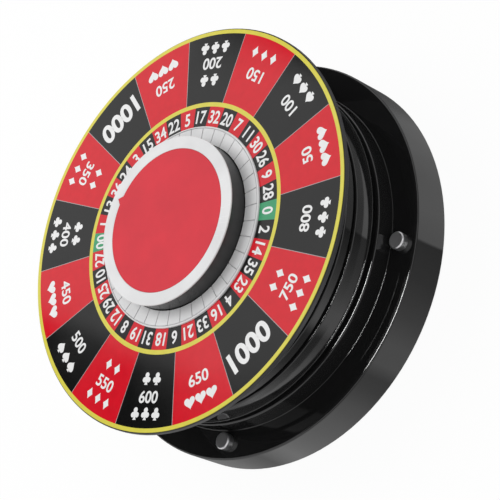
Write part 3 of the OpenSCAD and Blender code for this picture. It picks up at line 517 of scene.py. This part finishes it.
def outline_of(points, height):
    """One face round the points, its middle at the origin, at the height given."""
    points = np.array(points, float)
    low, high = points.min(0), points.max(0)
    points = (points - (low + high) / 2) * height / (high[1] - low[1])
    return points, [tuple(range(len(points)))]


def heart_point(t):
    """A point of the usual heart curve."""
    x = 16 * math.sin(t) ** 3
    y = 13 * math.cos(t) - 5 * math.cos(2 * t) - 2 * math.cos(3 * t) - math.cos(4 * t)
    return x, y


def trefoil_point(t):
    """A point of three round lobes, one of them at the top."""
    lobe, spread = 7.0, 8.0
    off = (t - math.pi / 6) % (2 * math.pi / 3) - math.pi / 3
    reach = spread * math.cos(off) + math.sqrt(lobe ** 2 - (spread * math.sin(off)) ** 2)
    return reach * math.cos(t), reach * math.sin(t)


def diamond_point(t):
    """A point of a diamond with hollow sides."""
    half_width, half_height, hollow = 11, 15, 2.3
    x, y = math.cos(t), math.sin(t)
    return half_width * math.copysign(abs(x) ** hollow, x), half_height * math.copysign(abs(y) ** hollow, y)


def stemmed(points):
    """A pip with a stem in the notch at its foot."""
    open_half, foot_half, foot = 1.6, 6.0, -17.0
    kept = [p for p in points if abs(p[0]) > open_half or p[1] > 0]
    return kept + [(-foot_half, foot), (foot_half, foot)]


def pip(suit, height):
    """A card pip: h, d, s or c."""
    turns = [2 * math.pi * (i + 0.5) / PIP_STEPS for i in range(PIP_STEPS)]
    if suit == "h":
        points = [heart_point(-t) for t in turns]
    elif suit == "d":
        points = [diamond_point(t) for t in turns]
    elif suit == "s":
        points = stemmed([(x, -y) for x, y in (heart_point(t) for t in turns)])
    else:
        points = stemmed([trefoil_point(t - math.pi / 2) for t in turns])
    return outline_of(points, height)


def pip_row(suits, height):
    points = []
    faces = []
    for i, suit in enumerate(suits):
        shape, _ = pip(suit, height)
        shape[:, 0] += (i - (len(suits) - 1) / 2) * height * PIP_PITCH
        faces.append(tuple(range(len(points), len(points) + len(shape))))
        points.extend(shape)
    return np.array(points), faces


for place, number in enumerate(WHEEL_ORDER):
    stamp(lines, text_outline(number, NUMBER_HEIGHT, NUMBER_CONDENSE, NUMBER_WEIGHT), NUMBER_R,
          field_middle(place), WHITE, True)
for k, count in enumerate(SECTOR_LINES):
    middle = SECTOR_START + 360 / SECTOR_COUNT * (k + 0.5)
    suit = SUITS[k % len(SUITS)]
    value = str(SECTOR_STEP * (k + 1))
    if count == 1:
        outline = text_outline(BIG_VALUE, BIG_HEIGHT, BIG_CONDENSE, BIG_WEIGHT)
        stamp(lines, outline, BIG_R, middle, WHITE, False)
        continue
    rows = [value, 3 * suit] if count == 2 else [2 * suit, value, 3 * suit]
    for row, radius in zip(rows, ROW_RADII[count]):
        if row.isdigit():
            outline = text_outline(row, ROW_HEIGHT, ROW_CONDENSE, ROW_WEIGHT)
        else:
            outline = pip_row(row, ROW_HEIGHT)
        stamp(lines, outline, radius, middle, WHITE, False)
mesh_piece("print_marks", lines.points, lines.faces, INKS, "wheel", lines.inks)


# Buttons: a polished side and chamfer round a satin top
def lathe_piece(name, profile, middle, looks, body, indices, steps=72):
    """A turned piece from a profile of radii and heights that starts and ends on the axis."""
    rims = profile[1:-1]
    points = [(middle[0], middle[1], profile[0][1]), (middle[0], middle[1], profile[-1][1])]
    for r, z in rims:
        for i in range(steps):
            x, y, _ = polar(r, 360 * i / steps, z)
            points.append((middle[0] + x, middle[1] + y, z))
    faces = []
    inks = []
    for i in range(steps):
        after = (i + 1) % steps
        last = 2 + (len(rims) - 1) * steps
        faces.append((0, 2 + after, 2 + i))
        inks.append(indices[0])
        for k in range(len(rims) - 1):
            low, high = 2 + k * steps, 2 + (k + 1) * steps
            faces.append((low + i, low + after, high + after, high + i))
            inks.append(indices[k + 1])
        faces.append((1, last + i, last + after))
        inks.append(indices[-1])
    piece = mesh_piece(name, points, faces, looks, body, inks, smooth=True)
    bevel = piece.modifiers.new("edges", "BEVEL")
    bevel.width = EDGE_ROUNDING * MM
    bevel.segments = 3
    bevel.limit_method = "ANGLE"
    bevel.harden_normals = True
    return piece


buttons = []
for i in range(1, BUTTON_COUNT + 1):
    node = f"button_{i}"
    low, high = (Vector(corner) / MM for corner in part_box(node))
    centre = (low + high) / 2
    collar_r = (high.x - low.x) / 2
    rim_z = high.z - BUTTON_CHAMFER
    button = lathe_piece(f"button_cap_{i}", [
        (0, low.z), (collar_r, low.z), (collar_r, low.z + BUTTON_COLLAR), (BUTTON_R, low.z + BUTTON_COLLAR),
        (BUTTON_R, rim_z), (BUTTON_R - BUTTON_CHAMFER, high.z), (0, high.z)],
        centre, [CHROME, SATIN_TOP], node, [0, 0, 0, 0, 0, 1])
    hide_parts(node)
    buttons.append(button)

# Return springs: a copy of each spring's solid, riding on the base
for i in range(1, BUTTON_COUNT + 1):
    node = f"button_spring_{i}"
    low, high = (Vector(corner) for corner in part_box(node))
    coil = bpy.data.objects.new(f"button_coil_{i}", frame["nodes"][node].data.copy())
    coil.matrix_world = frame["nodes"][node].matrix_world
    coil.modifiers.new("rounds", "NODES").node_group = rounds
    bpy.context.scene.collection.objects.link(coil)
    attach(coil, "base")
    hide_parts(node)
    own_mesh(coil)


# Stage, light and camera
def area_light(name, place, target, size, power):
    data = bpy.data.lights.new(name, "AREA")
    data.energy = power
    data.shape = "RECTANGLE"
    data.size, data.size_y = size
    light = bpy.data.objects.new(name, data)
    light.location = place
    light.rotation_mode = "QUATERNION"
    light.rotation_quaternion = (Vector(target) - Vector(place)).to_track_quat("-Z", "Y")
    light.visible_camera = False
    bpy.context.scene.collection.objects.link(light)
    return light


def seen_directly(tree, gloss_share=1.0):
    """1 for a ray from the camera or a refraction, a share for a reflection, 0 for any other ray."""
    path = tree.nodes.new("ShaderNodeLightPath")
    share = tree.nodes.new("ShaderNodeMath")
    share.operation = "MULTIPLY"
    tree.links.new(path.outputs["Is Glossy Ray"], share.inputs[0])
    share.inputs[1].default_value = gloss_share
    value = path.outputs["Is Camera Ray"]
    for other in (share.outputs["Value"], path.outputs["Is Transmission Ray"]):
        node = tree.nodes.new("ShaderNodeMath")
        node.operation = "MAXIMUM"
        tree.links.new(value, node.inputs[0])
        tree.links.new(other, node.inputs[1])
        value = node.outputs["Value"]
    return value


def stage_plane(name, points, look, faces=((0, 1, 2, 3),)):
    mesh = bpy.data.meshes.new(name)
    mesh.from_pydata(points, [], faces)
    mesh.materials.append(look)
    plane = bpy.data.objects.new(name, mesh)
    bpy.context.scene.collection.objects.link(plane)
    return plane


floor_look = Shader("floor_white")
floor_look.surface.inputs["Base Color"].default_value = FLOOR_TONE
floor_look.surface.inputs["Roughness"].default_value = FLOOR_ROUGHNESS
floor_look.surface.inputs["Specular IOR Level"].default_value = FLOOR_SPECULAR
glow = floor_look.add("ShaderNodeEmission")
lift = floor_look.add("ShaderNodeMixShader")
output = floor_look.tree.nodes["Material Output"]
floor_seen = seen_directly(floor_look.tree, FLOOR_GLOSS_LIFT / FLOOR_LIFT)
floor_look.join(floor_look.math("MULTIPLY", floor_seen, FLOOR_LIFT), lift.inputs["Fac"])
floor_look.join(floor_look.surface.outputs["BSDF"], lift.inputs[1])
floor_look.join(glow.outputs["Emission"], lift.inputs[2])
floor_look.join(lift.outputs["Shader"], output.inputs["Surface"])
floor_look.material.cycles.emission_sampling = "NONE"
stage_plane("floor", [(-FLOOR_HALF, -FLOOR_HALF, 0), (FLOOR_HALF, -FLOOR_HALF, 0),
                      (FLOOR_HALF, FLOOR_HALF, 0), (-FLOOR_HALF, FLOOR_HALF, 0)], floor_look.material)

world = bpy.data.worlds.new("studio")
bpy.context.scene.world = world
world.use_nodes = True
sky = world.node_tree.nodes["Background"]
sky.inputs["Color"].default_value = (1.0, 1.0, 1.0, 1.0)
strength = world.node_tree.nodes.new("ShaderNodeMapRange")
strength.inputs["To Min"].default_value = WORLD_LIGHT
strength.inputs["To Max"].default_value = WORLD_GLOSS
world.node_tree.links.new(seen_directly(world.node_tree), strength.inputs["Value"])
world.node_tree.links.new(strength.outputs["Result"], sky.inputs["Strength"])


def band_faces(count, across):
    """Faces between rows of points, each row with a pair of points for each face across it."""
    return [(i, i + 1, i + across + 1, i + across) for i in range(0, count - across, 2)]


def card_look(name, tone):
    look = Shader(name)
    look.surface.inputs["Base Color"].default_value = (tone, tone, tone, 1.0)
    look.surface.inputs["Specular IOR Level"].default_value = 0.0
    return look.material


def reflection_card(name, points, look, faces=((0, 1, 2, 3),)):
    """A card that shows only in glossy surfaces."""
    card = stage_plane(name, points, look, faces)
    card.visible_camera = False
    card.visible_diffuse = False
    card.visible_shadow = False
    card.visible_transmission = False
    return card


# Two dark cards with a bright gap between them, in the camera's mirror direction over the glossy face
card_black = card_look("card_black", CARD_TONE)
mirror = Vector((-CAMERA_BACK[0], -CAMERA_BACK[1], CAMERA_BACK[2]))
aside = Vector((0, 0, 1)).cross(mirror).normalized()
upward = mirror.cross(aside)
middle = mirror * CARD_DISTANCE + Vector((0, 0, FACE_Z * MM))
for edge in CARD_EDGES:
    far = edge + math.copysign(CARD_WIDTH, edge)
    corners = [middle + aside * a + upward * b for a, b in ((edge, -CARD_HALF), (far, -CARD_HALF),
                                                            (far, CARD_HALF), (edge, CARD_HALF))]
    reflection_card("dark_card", corners, card_black)

# A dark ceiling card, so that rounded edges mirror only the strip light
reflection_card("ceiling_card", [(x, y, CEILING_Z) for x, y in (
    (CEILING_X[0], -CEILING_HALF), (CEILING_X[1], -CEILING_HALF),
    (CEILING_X[1], CEILING_HALF), (CEILING_X[0], CEILING_HALF))], card_black)

# A flag beside the disc keeps the far sky off the flange
flag_points = [Vector(polar(r, angle, FLAG_Z)) for angle in FLAG_ANGLES for r in FLAG_RADII]
reflection_card("flag_card", flag_points, card_black, band_faces(len(flag_points), 2))

# A glowing card on the floor, seen only in glossy surfaces: its changing greys are painted reflections, the
# wall mirroring its near half, the ring and skirt its far half
tone_angles, tone_values = zip(*reversed(FLOOR_CARD_GLOWS))
share_angles, share_values = zip(*reversed(FAR_SHARES))
points = []
tones = []
for angle in np.arange(tone_angles[0], tone_angles[-1], FLOOR_CARD_STEP):
    outward = Vector(polar(1, angle, 0))
    onward = 2 * outward.dot(Vector(CAMERA_BACK)) * outward - Vector(CAMERA_BACK)
    onward.z = 0
    near = outward * FLOOR_CARD_START + Vector((0, 0, FLOOR_CARD_LIFT))
    tone = np.interp(angle, tone_angles, tone_values)
    far_tone = tone * np.interp(angle, share_angles, share_values)
    for reach, value in ((0, tone), (FLOOR_CARD_SPLIT, tone), (FLOOR_CARD_SPLIT, far_tone),
                         (FLOOR_CARD_REACH, far_tone)):
        points.append(near + onward.normalized() * reach)
        tones.append(value)
# The card glows though it is no lamp: its light is painted reflection
glow_card_look = Shader("card_reflection_glow")
card_glow = glow_card_look.add("ShaderNodeEmission")
glow_card_look.join(glow_card_look.add("ShaderNodeAttribute", attribute_name="tone").outputs["Color"],
               card_glow.inputs["Color"])
glow_card_look.join(card_glow.outputs["Emission"], glow_card_look.tree.nodes["Material Output"].inputs["Surface"])
glow_card_look.material.cycles.emission_sampling = "NONE"
floor_card = reflection_card("floor_card", points, glow_card_look.material, band_faces(len(points), 4))
tone_data = floor_card.data.color_attributes.new("tone", "FLOAT_COLOR", "POINT").data
tone_data.foreach_set("color", [c for tone in tones for c in (tone, tone, tone, 1.0)])

key = area_light("key", KEY_PLACE, AIM, (KEY_SIZE, KEY_SIZE), KEY_POWER)
key.visible_glossy = False


def receivers(name, pieces):
    """A collection of the pieces that a light shines on."""
    collection = bpy.data.collections.new(name)
    for piece in pieces:
        collection.objects.link(piece)
    return collection


strip_receivers = receivers("strip_receivers", [frame["nodes"][name] for name in STRIP_RECEIVERS])
for i in range(STRIP_COUNT):
    azimuth = STRIP_AZIMUTH + STRIP_PITCH * (i - (STRIP_COUNT - 1) / 2)
    strip = area_light(f"strip_{i}", polar(STRIP_LEVEL, azimuth, STRIP_HEIGHT), AIM,
                       (STRIP_LENGTH, STRIP_WIDTH), STRIP_POWER)
    strip.visible_diffuse = False
    strip.light_linking.receiver_collection = strip_receivers
button_receivers = receivers("button_receivers", buttons)
for azimuth in SOFT_AZIMUTHS:
    soft = area_light("button_soft", polar(SOFT_LEVEL, azimuth, SOFT_HEIGHT), AIM, SOFT_SIZE, SOFT_POWER)
    soft.light_linking.receiver_collection = button_receivers

camera_data = bpy.data.cameras.new("camera")
camera_data.lens = CAMERA_LENS
camera_data.sensor_width = CAMERA_SENSOR
camera_data.clip_start, camera_data.clip_end = CAMERA_CLIP
camera = bpy.data.objects.new("camera", camera_data)
turn = Matrix((CAMERA_RIGHT, CAMERA_UP, CAMERA_BACK)).transposed()
camera.rotation_mode = "QUATERNION"
camera.rotation_quaternion = turn.to_quaternion()
camera.location = CAMERA_PLACE
bpy.context.scene.collection.objects.link(camera)
bpy.context.scene.camera = camera
bpy.context.scene.view_settings.view_transform = "Standard"
